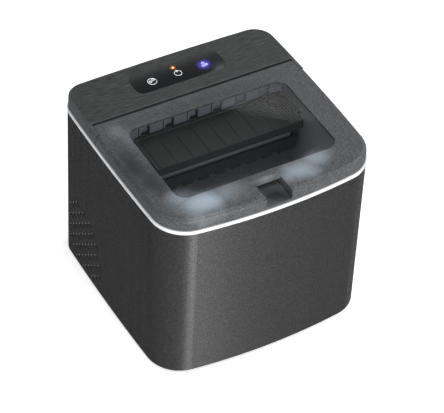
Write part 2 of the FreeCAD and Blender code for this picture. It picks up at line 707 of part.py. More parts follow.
# ---- water and electrics ----
def pump_housing():
    """Volute with an intake from the sump and an outlet to the hose."""
    x, y = pump_x, pump_y
    pieces = [rod(18, (x, y, 22), (x, y, 42)), rod(4.5, (x, -1, intake_z), (x, y - 10, intake_z)),
              rod(4, (x, y + 10, intake_z), (x, y + 32, intake_z)),
              box(x - 14, x + 14, y - 14, y + 14, foot_height + pan_thick, 23)]
    cuts = [rod(14, (x, y, 27), (x, y, 38)), rod(3, (x, -6, intake_z), (x, y - 10, intake_z)),
            rod(2.8, (x, y + 10, intake_z), (x, y + 34, intake_z)), rod(1.5 + shaft_play, (x, y, 30), (x, y, 44))]
    return pieces[0].multiFuse(pieces[1:]).cut(Part.makeCompound(cuts)).removeSplitter()


def pump_impeller():
    """Six straight vanes on a disc and its shaft."""
    x, y = pump_x, pump_y
    pieces = [rod(12.5, (x, y, 28), (x, y, 29.5)), rod(1.5, (x, y, 29), (x, y, 50))]
    for k in range(6):
        vane = box(x, x + 12.2, y - 0.7, y + 0.7, 29, 36)
        vane.rotate(V(x, y, 0), V(0, 0, 1), 60 * k)
        pieces.append(vane)
    return pieces[0].multiFuse(pieces[1:]).removeSplitter()


def pump_motor():
    """Motor can on top of the volute."""
    x, y = pump_x, pump_y
    return rod(15, (x, y, 42), (x, y, 70)).cut(rod(1.5 + shaft_play, (x, y, 41), (x, y, 51)))


def water_hose():
    """Clear hose from the pump up behind the liner to the spout."""
    route = [(pump_x, pump_y + 32.1, intake_z), (pump_x, 92, intake_z), (-30, 92, 112),
             (hose_x, 84, hose_z), (hose_x, 62.1, hose_z)]
    return bent_tube(route, 5.2, 3.2)


def drain_fitting():
    """Cup and bore that carry the sump's drain out through the right wall."""
    cup = rod(13.2, (121.0, drain_y, drain_z), (139.4, drain_y, drain_z))
    neck = rod(8, (118.2, drain_y, drain_z), (122, drain_y, drain_z))
    bore = rod(5.4, (116, drain_y, drain_z), (136, drain_y, drain_z))
    recess = rod(11.5, (133, drain_y, drain_z), (150, drain_y, drain_z))
    return cup.fuse(neck).cut(bore).cut(recess).removeSplitter()


def drain_cap():
    """Round cap with a coin slot and a plug stem."""
    cap = rod(11.0, (135.6, drain_y, drain_z), (141.6, drain_y, drain_z))
    stem = rod(4.8, (123, drain_y, drain_z), (136, drain_y, drain_z))
    slot = box(139.6, 143, drain_y - 8, drain_y + 8, drain_z - 1.2, drain_z + 1.2)
    return cap.fuse(stem).cut(slot)


def drain_seal():
    """Flat washer on the stem that seals the cap."""
    return collar(9.5, 4.8, (133.3, drain_y, drain_z), (135.6, drain_y, drain_z))


board_posts_places = [(8, 150, strut_rear + 0.2), (8, 194, strut_rear + 0.2), (86, 150, 124), (86, 206, 124)]


def main_board():
    """Power and control board behind the liner, its larger components and its posts."""
    rear = 119.6
    board = box(-2, 90, rear - 1.6, rear, 138, 214)
    parts = [box(6, 36, 98, 118, 146, 174), box(46, 60, 104, 118, 146, 166), box(64, 78, 104, 118, 146, 166)]
    parts += [rod(7, (x, 118, 196), (x, 100, 196)) for x in (14, 34)]
    parts += [box(52, 76, 110, 118, 190, 202)]
    posts = [rod(3, (x, rear, z), (x, end, z)) for x, z, end in board_posts_places]
    return board, parts, posts


def power_inlet():
    """Three-pin appliance inlet in the back panel."""
    shell = rounded_xz(inlet_x, inlet_z, 28, 20, 118, 141.2, 2.5)
    shell = shell.cut(rounded_xz(inlet_x, inlet_z, 24.2, 16.2, 124, 150, 2.0))
    pins = [box(inlet_x + dx - 1, inlet_x + dx + 1, 120, 138, inlet_z + dz - 2, inlet_z + dz + 2)
            for dx, dz in ((-7, -1), (0, 2), (7, -1))]
    return shell.fuse(pins)


# ---- write every node ----
save("body_shell", body_shell())
save("rear_panel", rear_panel())
save("rear_struts", *rear_struts())
save("base_pan", base_pan())
save("rubber_feet", *rubber_feet())
save("trim_ring", trim_ring())
save("top_cover", top_cover())
save("deck_plate", deck_blank(0.1).cut(glass_blank(-0.1, 240, 260)))
save("control_glass", glass_blank(0.1, height - deck_drop, height - 0.05))
save("control_board", control_board())
save("lid_frame", lid_frame())
save("lid_window", lid_window())
save("hinge_pins", *hinge_pins())
save("inner_liner", inner_liner())
save("foam_insulation", foam_wrap())
save("evaporator", evaporator())
save("evaporator_cover", evaporator_cover())
save("rear_comb", rear_comb())
save("ice_sensors", *ice_sensors())
probes, holder = level_probes()
save("level_probes", *probes)
save("probe_holder", holder)
save("water_tray", water_tray())
save("ice_shovel", ice_shovel())
save("tray_motor", tray_motor())
save("water_spout", water_spout())
save("ice_basket", ice_basket())
save("compressor", compressor())
save("compressor_mounts", *compressor_mounts())
save("terminal_cover", terminal_cover())
save("condenser_coil", condenser_coil())
save("condenser_fins", *condenser_fins())
save("fan_shroud", fan_shroud())
save("fan_rotor", fan_rotor())
save("fan_motor", fan_motor())
save("filter_drier", filter_drier())
discharge, liquid, capillary, suction = refrigerant_lines()
save("discharge_line", discharge)
save("liquid_line", liquid)
save("capillary_line", capillary)
save("suction_line", suction)
valve_body, valve_coil = hot_gas_valve()
save("valve_body", valve_body)
save("valve_coil", valve_coil)
save("pump_housing", pump_housing())
save("pump_impeller", pump_impeller())
save("pump_motor", pump_motor())
save("water_hose", water_hose())
save("drain_fitting", drain_fitting())
save("drain_cap", drain_cap())
save("drain_seal", drain_seal())
board, components, posts = main_board()
save("main_board", board)
save("board_components", *components)
save("board_posts", *posts)
save("power_inlet", power_inlet())
save("panel_screws", *[screw((x, 127, z), (x, 139, z)) for x, z in panel_screws])
save("motor_screws", *[screw((121.2, y, tray_axis_z), (124.5, y, tray_axis_z)) for y in motor_screw_places])
save("cover_screws", *[rod(1.6, (x, y, 224), (x, y, height - 7)) for x, y in cover_screws])
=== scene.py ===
# %% [markdown]
# # A countertop ice maker
#
# This lesson dresses the working model of a small ice maker: a dark wrapped body, a smoky lid with a
# clear window, a grained deck with a glass control strip, and ice in a lift-out basket. The model's
# solid parts come in first as a fixed frame. They keep their places, and the new pieces are set
# against the boxes that they report.

# %% Load the frame
import math
import random

import bpy
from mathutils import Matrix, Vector


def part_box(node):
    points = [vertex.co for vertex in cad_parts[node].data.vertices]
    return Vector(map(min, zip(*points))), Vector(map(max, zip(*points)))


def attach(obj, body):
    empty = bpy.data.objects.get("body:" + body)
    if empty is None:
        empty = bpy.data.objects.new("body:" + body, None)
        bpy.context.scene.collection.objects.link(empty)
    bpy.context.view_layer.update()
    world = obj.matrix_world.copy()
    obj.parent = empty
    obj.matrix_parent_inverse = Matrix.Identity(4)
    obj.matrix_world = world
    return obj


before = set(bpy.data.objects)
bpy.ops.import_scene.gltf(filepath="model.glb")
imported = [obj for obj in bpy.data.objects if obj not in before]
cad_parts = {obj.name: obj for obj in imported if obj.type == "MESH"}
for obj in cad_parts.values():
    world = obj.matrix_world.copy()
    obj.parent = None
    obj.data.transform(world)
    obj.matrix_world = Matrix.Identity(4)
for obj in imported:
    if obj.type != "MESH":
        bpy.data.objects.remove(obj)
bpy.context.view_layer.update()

# %% [markdown]
# ## The camera
#
# A product picture is taken from some way off with a long lens, so that upright edges stay nearly
# parallel. The camera stands in front, a little to the left and well above the lid, and leans a few
# degrees. It is placed by its heading and height in the sky rather than by eye, because those two
# angles can be changed one at a time.

# %% Camera
heading, height_angle, lean = math.radians(-31.54), math.radians(42.96), math.radians(3.19)
distance = 2.7075
aim = Vector((-0.0309, -0.0657, 0.1829))

toward_camera = Vector((math.sin(heading) * math.cos(height_angle),
                        -math.cos(heading) * math.cos(height_angle), math.sin(height_angle)))
across = Vector((math.cos(heading), math.sin(heading), 0))
upward = toward_camera.cross(across)
right = across * math.cos(lean) + upward * math.sin(lean)
up = upward * math.cos(lean) - across * math.sin(lean)

camera_data = bpy.data.cameras.new("product_camera")
camera_data.lens, camera_data.sensor_width = 186.5, 36.0
camera_data.clip_start, camera_data.clip_end = 0.1, 30.0
camera = bpy.data.objects.new("product_camera", camera_data)
bpy.context.scene.collection.objects.link(camera)
turn = camera.matrix_world.to_3x3()
turn.col[0], turn.col[1], turn.col[2] = right, up, toward_camera
camera.matrix_world = turn.to_4x4()
camera.location = aim + toward_camera * distance
bpy.context.scene.camera = camera
print("camera at", [round(v, 3) for v in camera.location])

# %% [markdown]
# ## Light and floor
#
# Dark satin metal shows only what it reflects, so the lights are large panels. One tall narrow panel
# in front gives the soft upright streak near the rounded corner, one overhead lights the lid and one
# on the right lifts that side of it. The left side has no panel, so that it stays dark.

# %% Lights


def soft_panel(name, azimuth, elevation, reach, size, watts, colour=(1, 1, 1)):
    """Square or oblong light panel aimed at the object."""
    data = bpy.data.lights.new(name, "AREA")
    data.shape, data.size, data.size_y = "RECTANGLE", size[0], size[1]
    data.energy, data.color = watts, colour
    panel = bpy.data.objects.new(name, data)
    bpy.context.scene.collection.objects.link(panel)
    a, e = math.radians(azimuth), math.radians(elevation)
    out = Vector((math.sin(a) * math.cos(e), -math.cos(a) * math.cos(e), math.sin(e)))
    panel.location = Vector((0, 0, 0.12)) + out * reach
    panel.rotation_euler = out.to_track_quat("Z", "Y").to_euler()
    return panel


soft_panel("front_panel", -4, 10, 2.2, (0.30, 0.9), 27)
soft_panel("overhead_panel", -10, 78, 2.4, (1.8, 1.4), 20)
soft_panel("right_panel", 95, 42, 2.4, (1.0, 1.2), 19)

# %% [markdown]
# Gloss glass shows the room rather than its own colour. A small card placed exactly where the glass
# would show it to the camera gives a reflection with a straight edge. Working out the place from the
# mirror rule is surer than moving a card about until it appears.

# %% Mirror cards


def mirror_card(name, spot, size, turn_degrees, shift, glow):
    """Dim card placed where a level gloss surface shows it to the camera at the given spot."""
    spot = Vector(spot)
    seen = (spot - camera.location).normalized()
    bounce = Vector((seen.x, seen.y, -seen.z))
    along = Vector((1, 0, 0)) - bounce * bounce.x
    along.normalize()
    back = bounce.cross(along)
    turn_rad = math.radians(turn_degrees)
    wide = along * math.cos(turn_rad) + back * math.sin(turn_rad)
    tall = bounce.cross(wide)
    data = bpy.data.lights.new(name, "AREA")
    data.shape, data.size, data.size_y = "RECTANGLE", size[0], size[1]
    data.energy = math.pi * glow * size[0] * size[1]
    card = bpy.data.objects.new(name, data)
    bpy.context.scene.collection.objects.link(card)
    frame_turn = card.matrix_world.to_3x3()
    frame_turn.col[0], frame_turn.col[1], frame_turn.col[2] = wide, tall, bounce
    card.matrix_world = frame_turn.to_4x4()
    card.location = spot + bounce * 1.2 + wide * shift[0] + tall * shift[1]
    return card


mirror_card("glass_card", (0.0, 0.119, 0.25), (0.22, 0.06), 0, (-0.02, 0.03), 1.1)
mirror_card("window_card", (0.053, -0.0035, 0.25), (0.20, 0.06), -28.7, (0.015, 0.03), 4.5)

# %% [markdown]
# The air around adds a faint cool light from every side.

# %% World
world = bpy.data.worlds.new("studio_air")
bpy.context.scene.world = world
world.use_nodes = True
world.node_tree.nodes["Background"].inputs["Color"].default_value = (0.92, 0.95, 1.0, 1)
world.node_tree.nodes["Background"].inputs["Strength"].default_value = 0.25
bpy.context.scene.view_settings.view_transform = "Standard"

# %% [markdown]
# Ice deep in a covered basket would look black, so a faint panel under the front of the lid lights
# the heap. It is hidden from the camera.

# %% Chamber light
chamber_data = bpy.data.lights.new("chamber_light", "AREA")
chamber_data.shape, chamber_data.size, chamber_data.size_y = "RECTANGLE", 0.18, 0.03
chamber_data.energy = 0.036
chamber_light = bpy.data.objects.new("chamber_light", chamber_data)
chamber_light.location = (0.0, -0.084, 0.2325)
chamber_light.rotation_euler = (math.radians(24), 0, 0)
chamber_light.visible_camera = False
chamber_light.visible_glossy = False
bpy.context.scene.collection.objects.link(chamber_light)
print("chamber light at", list(chamber_light.location))

# %% [markdown]
# The floor is a wide matte sheet with a little glow of its own, so that it stays white.

# %% Floor
bpy.ops.object.select_all(action="DESELECT")
bpy.ops.mesh.primitive_plane_add(size=30, location=(0, 0, -0.0002))
floor = bpy.context.active_object
floor.name = "studio_floor"
floor_paint = bpy.data.materials.new("pale_floor")
floor_paint.use_nodes = True
floor_shader = floor_paint.node_tree.nodes["Principled BSDF"]
floor_shader.inputs["Base Color"].default_value = (0.92, 0.92, 0.92, 1)
floor_shader.inputs["Roughness"].default_value = 0.9
floor_shader.inputs["Emission Color"].default_value = (1, 1, 1, 1)
floor_shader.inputs["Emission Strength"].default_value = 0.62
floor.data.materials.append(floor_paint)
floor.visible_glossy = False
print("floor", floor.name)

# %% [markdown]
# ## Shared surface effects
#
# Moulded plastic, coated sheet and brushed inlay all owe their look to small variations. Each such
# effect is built once as a node group with named sockets, and every material below gives it its own
# numbers. The groups work in object coordinates, so a pattern keeps its true size on every piece.

# %% [markdown]
# Node groups need sockets, links and small maths nodes again and again. These helpers add one node
# each, so that the recipes further down read as a few plain steps.

# %% A helper that starts a node group


def start_group(name, inputs, outputs):
    """New shader node group with its named sockets; returns the tree and its two end nodes."""
    group = bpy.data.node_groups.new(name, "ShaderNodeTree")
    for label, kind, value in inputs:
        socket = group.interface.new_socket(name=label, in_out="INPUT", socket_type=kind)
        socket.default_value = value
    for label, kind in outputs:
        group.interface.new_socket(name=label, in_out="OUTPUT", socket_type=kind)
    return group, group.nodes.new("NodeGroupInput"), group.nodes.new("NodeGroupOutput")


def noise(group, vector, scale, detail=3.0, roughness=0.55):
    """Noise texture node fed with a vector."""
    node = group.nodes.new("ShaderNodeTexNoise")
    node.inputs["Detail"].default_value = detail
    node.inputs["Roughness"].default_value = roughness
    if isinstance(scale, (int, float)):
        node.inputs["Scale"].default_value = scale
    else:
        group.links.new(scale, node.inputs["Scale"])
    group.links.new(vector, node.inputs["Vector"])
    return node


def spread(group, value, low, high, to_low=0.0, to_high=1.0):
    """Map Range node; low and high may be numbers or sockets."""
    node = group.nodes.new("ShaderNodeMapRange")
    group.links.new(value, node.inputs["Value"])
    for label, number in (("From Min", low), ("From Max", high), ("To Min", to_low), ("To Max", to_high)):
        if isinstance(number, (int, float)):
            node.inputs[label].default_value = number
        else:
            group.links.new(number, node.inputs[label])
    return node.outputs["Result"]


def blend_colours(group, factor, first, second, mode="MIX"):
    """Mix Color node; factor, first and second may be values or sockets."""
    node = group.nodes.new("ShaderNodeMix")
    node.data_type, node.blend_type = "RGBA", mode
    for index, item in ((0, factor), (6, first), (7, second)):
        if isinstance(item, bpy.types.NodeSocket):
            group.links.new(item, node.inputs[index])
        else:
            node.inputs[index].default_value = item
    return node.outputs[2]


def maths(group, operation, first, second=0.0):
    """Math node; each side may be a number or a socket."""
    node = group.nodes.new("ShaderNodeMath")
    node.operation = operation
    for index, item in enumerate((first, second)):
        if isinstance(item, (int, float)):
            node.inputs[index].default_value = item
        else:
            group.links.new(item, node.inputs[index])
    return node.outputs[0]


# %% [markdown]
# Moulded plastic is pebbled by its tool and never quite even in tone. A fine noise gives the pebbling
# and a slow one the drift in tone; mixing both is cheaper than an image and has no visible repeat.

# %% Moulded grain: fine pebbling and slow tone changes
grain_group, grain_in, grain_out = start_group(
    "Moulded grain",
    [("Dark", "NodeSocketColor", (0.03, 0.03, 0.03, 1)), ("Light", "NodeSocketColor", (0.05, 0.05, 0.05, 1)),
     ("Grain Scale", "NodeSocketFloat", 900.0), ("Roughness", "NodeSocketFloat", 0.5)],
    [("Color", "NodeSocketColor"), ("Roughness", "NodeSocketFloat"), ("Height", "NodeSocketFloat")])
place = grain_group.nodes.new("ShaderNodeTexCoord").outputs["Object"]
fine = noise(grain_group, place, grain_in.outputs["Grain Scale"], 2.0).outputs["Fac"]
slow = noise(grain_group, place, 14.0, 3.0).outputs["Fac"]
tone = maths(grain_group, "ADD", maths(grain_group, "MULTIPLY", fine, 0.65),
             maths(grain_group, "MULTIPLY", slow, 0.35))
grain_group.links.new(blend_colours(grain_group, spread(grain_group, tone, 0.3, 0.7),
                                    grain_in.outputs["Dark"], grain_in.outputs["Light"]),
                      grain_out.inputs["Color"])
uneven = spread(grain_group, slow, 0.3, 0.7, -0.05, 0.05)
grain_group.links.new(maths(grain_group, "ADD", grain_in.outputs["Roughness"], uneven),
                      grain_out.inputs["Roughness"])
grain_group.links.new(fine, grain_out.inputs["Height"])

# %% [markdown]
# Flake paint holds tiny bright plates in a dark coat. Voronoi cells have one random colour each, so
# keeping only those above a threshold scatters bright specks of even size.

# %% Metal flake: small bright cells scattered in a dark coat
flake_group, flake_in, flake_out = start_group(
    "Metal flake",
    [("Coat", "NodeSocketColor", (0.03, 0.03, 0.03, 1)), ("Flake", "NodeSocketColor", (0.2, 0.2, 0.2, 1)),
     ("Flake Scale", "NodeSocketFloat", 900.0), ("Density", "NodeSocketFloat", 0.2)],
    [("Color", "NodeSocketColor"), ("Mask", "NodeSocketFloat"), ("Height", "NodeSocketFloat")])
place = flake_group.nodes.new("ShaderNodeTexCoord").outputs["Object"]
cells = flake_group.nodes.new("ShaderNodeTexVoronoi")
flake_group.links.new(place, cells.inputs["Vector"])
flake_group.links.new(flake_in.outputs["Flake Scale"], cells.inputs["Scale"])
shade_of_cell = flake_group.nodes.new("ShaderNodeSeparateColor")
flake_group.links.new(cells.outputs["Color"], shade_of_cell.inputs["Color"])
threshold = maths(flake_group, "SUBTRACT", 1.0, flake_in.outputs["Density"])
mask = spread(flake_group, shade_of_cell.outputs["Red"], threshold, 1.0)
flake_group.links.new(blend_colours(flake_group, mask, flake_in.outputs["Coat"], flake_in.outputs["Flake"]),
                      flake_out.inputs["Color"])
flake_group.links.new(mask, flake_out.inputs["Mask"])
flake_group.links.new(shade_of_cell.outputs["Green"], flake_out.inputs["Height"])

# %% [markdown]
# A brushed or drawn surface has long lines. Noise becomes lines when its coordinates are squeezed far
# more across the line than along it.

# %% Brushed streaks: long fine lines along one direction, on an inlay or on drawn metal
streak_group, streak_in, streak_out = start_group(
    "Brushed streaks",
    [("Dark", "NodeSocketColor", (0.03, 0.03, 0.03, 1)), ("Light", "NodeSocketColor", (0.1, 0.1, 0.1, 1)),
     ("Stretch", "NodeSocketVector", (6.0, 500.0, 500.0))],
    [("Color", "NodeSocketColor"), ("Height", "NodeSocketFloat")])
place = streak_group.nodes.new("ShaderNodeTexCoord").outputs["Object"]
stretch = streak_group.nodes.new("ShaderNodeVectorMath")
stretch.operation = "MULTIPLY"
streak_group.links.new(place, stretch.inputs[0])
streak_group.links.new(streak_in.outputs["Stretch"], stretch.inputs[1])
lines = noise(streak_group, stretch.outputs[0], 1.0, 6.0, 0.62).outputs["Fac"]
streak_group.links.new(blend_colours(streak_group, spread(streak_group, lines, 0.32, 0.68),
                                     streak_in.outputs["Dark"], streak_in.outputs["Light"]),
                       streak_out.inputs["Color"])
streak_group.links.new(lines, streak_out.inputs["Height"])

# %% [markdown]
# Mist gathers in soft clouds, and the painted shade and the painted highlight on the lid take the same
# soft shape. Each is a distance from a centre, stretched to an oval and made ragged with noise, and
# then faded smoothly to nothing.

# %% Soft patch: a soft round cloud, for mist on the inside of the lid, painted shade and a painted highlight
soft_patch_group, soft_patch_in, soft_patch_out = start_group(
    "Soft patch",
    [("Centre", "NodeSocketVector", (0.0, 0.0, 0.25)), ("Spread", "NodeSocketVector", (0.03, 0.02, 0.1)),
     ("Strength", "NodeSocketFloat", 1.0)],
    [("Mask", "NodeSocketFloat")])
place = soft_patch_group.nodes.new("ShaderNodeTexCoord").outputs["Object"]
wander = noise(soft_patch_group, place, 45.0, 3.0)
offset = soft_patch_group.nodes.new("ShaderNodeVectorMath")
offset.operation = "SUBTRACT"
soft_patch_group.links.new(place, offset.inputs[0])
soft_patch_group.links.new(soft_patch_in.outputs["Centre"], offset.inputs[1])
scaled = soft_patch_group.nodes.new("ShaderNodeVectorMath")
scaled.operation = "DIVIDE"
soft_patch_group.links.new(offset.outputs[0], scaled.inputs[0])
soft_patch_group.links.new(soft_patch_in.outputs["Spread"], scaled.inputs[1])
away = soft_patch_group.nodes.new("ShaderNodeVectorMath")
away.operation = "LENGTH"
soft_patch_group.links.new(scaled.outputs[0], away.inputs[0])
ragged = maths(soft_patch_group, "ADD", away.outputs["Value"],
               spread(soft_patch_group, wander.outputs["Fac"], 0.3, 0.7, -0.16, 0.16))
cloud = soft_patch_group.nodes.new("ShaderNodeMapRange")
cloud.interpolation_type = "SMOOTHSTEP"
soft_patch_group.links.new(ragged, cloud.inputs["Value"])
cloud.inputs["From Min"].default_value, cloud.inputs["From Max"].default_value = 1.15, 0.0
soft_patch_group.links.new(maths(soft_patch_group, "MULTIPLY", cloud.outputs["Result"], soft_patch_in.outputs["Strength"]),
                     soft_patch_out.inputs["Mask"])
print("node groups:", [g.name for g in bpy.data.node_groups])

# %% [markdown]
# ## Materials
#
# Each finish is its own material around a Principled shader. A helper starts one and sets the
# plain numbers straight on the shader; only what changes over the surface comes through nodes.

# %% Helpers for materials


def new_finish(name, **settings):
    """Material with a Principled shader; settings go on the shader's own sockets."""
    finish = bpy.data.materials.new(name)
    finish.use_nodes = True
    shader = finish.node_tree.nodes["Principled BSDF"]
    for label, value in settings.items():
        shader.inputs[label.replace("_", " ")].default_value = value
    return finish, finish.node_tree, shader


def place_group(tree, group, **settings):
    """Group node with its input values."""
    node = tree.nodes.new("ShaderNodeGroup")
    node.node_tree = group
    for label, value in settings.items():
        node.inputs[label.replace("_", " ")].default_value = value
    return node


def add_bump(tree, shader, height, strength, depth):
    """Bump node between a height and the shader."""
    bump = tree.nodes.new("ShaderNodeBump")
    bump.inputs["Strength"].default_value = strength
    bump.inputs["Distance"].default_value = depth
    tree.links.new(height, bump.inputs["Height"])
    tree.links.new(bump.outputs["Normal"], shader.inputs["Normal"])


def rgb(red, green, blue):
    return (red, green, blue, 1.0)


def moulded(name, dark, light, grain=900.0, roughness=0.5, bump=0.15, **settings):
    """Grained moulding in a range between two tones."""
    finish, tree, shader = new_finish(name, **settings)
    grain_node = place_group(tree, grain_group, Dark=rgb(*dark), Light=rgb(*light), Grain_Scale=grain,
                             Roughness=roughness)
    tree.links.new(grain_node.outputs["Color"], shader.inputs["Base Color"])
    tree.links.new(grain_node.outputs["Roughness"], shader.inputs["Roughness"])
    add_bump(tree, shader, grain_node.outputs["Height"], bump, 0.0003)
    return finish


def drawn_metal(name, dark, light, stretch, roughness=0.35, bump=0.1, **settings):
    """Metal with fine lines along its length."""
    finish, tree, shader = new_finish(name, Metallic=1.0, Roughness=roughness, **settings)
    streaks = place_group(tree, streak_group, Dark=rgb(*dark), Light=rgb(*light), Stretch=stretch)
    tree.links.new(streaks.outputs["Color"], shader.inputs["Base Color"])
    add_bump(tree, shader, streaks.outputs["Height"], bump, 0.0002)
    return finish


def dress(finish, *nodes):
    """Give CAD nodes a finish on every slot of their objects."""
    for node in nodes:
        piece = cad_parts[node]
        if not piece.data.materials:
            piece.data.materials.append(finish)
        for index in range(len(piece.material_slots)):
            piece.material_slots[index].material = finish


# %% [markdown]
# The wrap is sheet metal with a dark flake coat. The sheet was rolled, which draws highlights out
# upright, so the shader is anisotropic and turned by a quarter.

# %% Charcoal coat with metal flake on the wrap
coat, tree, shader = new_finish("charcoal_flake_coat", Metallic=0.85, Specular_Tint=rgb(0.12, 0.12, 0.12),
                                Specular_IOR_Level=0.3, Anisotropic=0.85, Anisotropic_Rotation=0.25)
flakes = place_group(tree, flake_group, Coat=rgb(0.10, 0.10, 0.102), Flake=rgb(0.24, 0.235, 0.23),
                     Flake_Scale=2200.0, Density=0.45)
tree.links.new(flakes.outputs["Color"], shader.inputs["Base Color"])
tree.links.new(spread(tree, flakes.outputs["Mask"], 0.0, 1.0, 0.56, 0.46), shader.inputs["Roughness"])
add_bump(tree, shader, flakes.outputs["Height"], 0.10, 0.0001)
dress(coat, "body_shell")
print("coat on the wrap:", coat.name)

# %% [markdown]
# The band under the lid looks silver but is pale satin moulding, so very little of it is metallic.

# %% Satin silver on the trim ring
silver = drawn_metal("satin_silver", (0.84, 0.84, 0.85), (0.97, 0.97, 0.97), (60.0, 60.0, 900.0), 0.4, 0.05)
silver.node_tree.nodes["Principled BSDF"].inputs["Metallic"].default_value = 0.05
dress(silver, "trim_ring")
print("trim:", silver.name)

# %% [markdown]
# The rear cover is plain moulding around an inlay with a wood-like grain running from side to side.

# %% Dark rear moulding and its grained inlay
dress(moulded("cover_charcoal", (0.075, 0.077, 0.078), (0.105, 0.107, 0.108), 1100.0, 0.5), "top_cover")
inlay, tree, shader = new_finish("grained_inlay", Metallic=0.3, Roughness=0.45)
streaks = place_group(tree, streak_group, Dark=rgb(0.016, 0.018, 0.018), Light=rgb(0.115, 0.12, 0.118),
                      Stretch=(55.0, 760.0, 60.0))
tree.links.new(streaks.outputs["Color"], shader.inputs["Base Color"])
add_bump(tree, shader, streaks.outputs["Height"], 0.35, 0.0004)
dress(inlay, "deck_plate")
print("inlay:", inlay.name)

# %% [markdown]
# The key strip is black glass. Its colour hardly matters; its low roughness does.

# %% Gloss black control glass
glass_black, tree, shader = new_finish("control_glass_black", Roughness=0.07)
grain_node = place_group(tree, grain_group, Dark=rgb(0.0015, 0.0015, 0.002), Light=rgb(0.003, 0.003, 0.0035),
                         Grain_Scale=200.0, Roughness=0.07)
tree.links.new(grain_node.outputs["Color"], shader.inputs["Base Color"])
dress(glass_black, "control_glass")
print("glass:", glass_black.name)

# %% [markdown]
# The lid is smoky plastic with a sparkle of frost, misted where cold air meets it. Painted shade darkens
# it over the cavity at the left front, along its rear seam and in the finger notch, and a painted
# highlight lightens the notch's rear edge. The shaded, misty and lit places are lists of centre, size
# and strength, so they can be moved without touching the nodes.

# %% Frosted smoke on the lid, with mist patches, painted shade and a painted highlight
MIST_AND_HIGHLIGHT = [((-0.084, -0.112, 0.249), (0.038, 0.026, 0.03), 1.0),
        ((-0.101, -0.094, 0.249), (0.024, 0.020, 0.03), 0.55),
        ((-0.056, -0.110, 0.249), (0.034, 0.022, 0.03), 0.40),
        ((0.042, -0.115, 0.249), (0.034, 0.022, 0.03), 0.72),
        ((0.069, -0.104, 0.249), (0.026, 0.020, 0.03), 0.55),
        ((-0.116, 0.042, 0.249), (0.014, 0.018, 0.03), 0.20),
        ((-0.109, 0.025, 0.249), (0.012, 0.026, 0.03), 0.16),
        # The last patch is a painted highlight on the lit rear edge of the finger notch.
        ((0.0, -0.1085, 0.249), (0.022, 0.006, 0.01), 0.45)]
# Painted shade: the cavity at the left front, the rear seam and the recess of the finger notch.
PAINTED_SHADE = [((-0.128, -0.018, 0.249), (0.018, 0.046, 0.03), 0.85),
         ((-0.119, -0.060, 0.249), (0.022, 0.032, 0.03), 0.8),
         ((0.0, 0.046, 0.249), (0.12, 0.014, 0.03), 0.35),
         ((0.0, -0.126, 0.2375), (0.0230, 0.0190, 0.0100), 1.0)]


def add_mist_and_highlight(tree, colour, mist_and_highlight_colour):
    """Lay the mist patches and the painted highlight over a colour; returns the colour and the summed mask.
    """
    total = None
    for centre, size, strength in MIST_AND_HIGHLIGHT:
        patch = place_group(tree, soft_patch_group, Centre=centre, Spread=size, Strength=strength).outputs["Mask"]
        total = patch if total is None else maths(tree, "MAXIMUM", total, patch)
    return blend_colours(tree, total, colour, mist_and_highlight_colour), total


smoke, tree, shader = new_finish("frosted_smoke", Roughness=0.5, Coat_Weight=0.1, Coat_Roughness=0.3)
flakes = place_group(tree, flake_group, Coat=rgb(0.064, 0.066, 0.068), Flake=rgb(0.20, 0.20, 0.203),
                     Flake_Scale=1400.0, Density=0.5)
shaded = flakes.outputs["Color"]
for centre, size, strength in PAINTED_SHADE:
    painted_shade_mask = place_group(tree, soft_patch_group, Centre=centre, Spread=size, Strength=strength).outputs["Mask"]
    # Each patch paints shade over the lid in a near-black colour.
    shaded = blend_colours(tree, painted_shade_mask, shaded, rgb(0.018, 0.019, 0.020))
misted_and_lit, mist_and_highlight_mask = add_mist_and_highlight(tree, shaded, rgb(0.46, 0.54, 0.60))
tree.links.new(misted_and_lit, shader.inputs["Base Color"])
tree.links.new(spread(tree, mist_and_highlight_mask, 0.0, 1.0, 0.93, 0.97), shader.inputs["Alpha"])
add_bump(tree, shader, flakes.outputs["Height"], 0.1, 0.0002)
dress(smoke, "lid_frame")
print("lid:", len(MIST_AND_HIGHLIGHT), "mist and highlight patches,", len(PAINTED_SHADE), "painted shade patches")

# %% [markdown]
# The window shares the mist and the painted highlight with the lid around it, so that a cloud crosses
# the seam unbroken. Its clearness is a low alpha, which lets light through to the chamber below.

# %% Clear window, lightly smoked, with the same mist at its front edge
pane, tree, shader = new_finish("clear_pane", Roughness=0.04)
misted_and_lit, mist_and_highlight_mask = add_mist_and_highlight(tree, rgb(0.02, 0.022, 0.024), rgb(0.42, 0.49, 0.55))
tree.links.new(misted_and_lit, shader.inputs["Base Color"])
tree.links.new(spread(tree, mist_and_highlight_mask, 0.0, 1.0, 0.10, 0.85), shader.inputs["Alpha"])
dress(pane, "lid_window")
print("window:", pane.name)

# %% [markdown]
# The chamber parts are plain mouldings in a few greys. One helper with different tones, grain and
# roughness keeps them a family without making them alike.

# %% Chamber: liner, screen, cover plate, tray, basket
dress(moulded("liner_grey", (0.24, 0.252, 0.27), (0.32, 0.335, 0.36), 500.0, 0.4),
      "inner_liner", "drain_fitting")
dress(moulded("screen_grey", (0.20, 0.21, 0.245), (0.27, 0.28, 0.32), 500.0, 0.35, 0.05), "rear_comb")
dress(moulded("cover_plate_grey", (0.028, 0.032, 0.030), (0.042, 0.047, 0.045), 1500.0, 0.5, 0.1),
      "evaporator_cover", "ice_shovel")
dress(moulded("basket_grey", (0.30, 0.312, 0.335), (0.38, 0.395, 0.42), 700.0, 0.32, 0.05, Coat_Weight=0.2),
      "ice_basket", "water_tray", "water_spout")
dress(moulded("sensor_black", (0.01, 0.01, 0.012), (0.02, 0.02, 0.024), 900.0, 0.15, 0.02), "ice_sensors")

# %% [markdown]
# Hidden and rear parts get their own finishes too, because the model will be seen from every side.

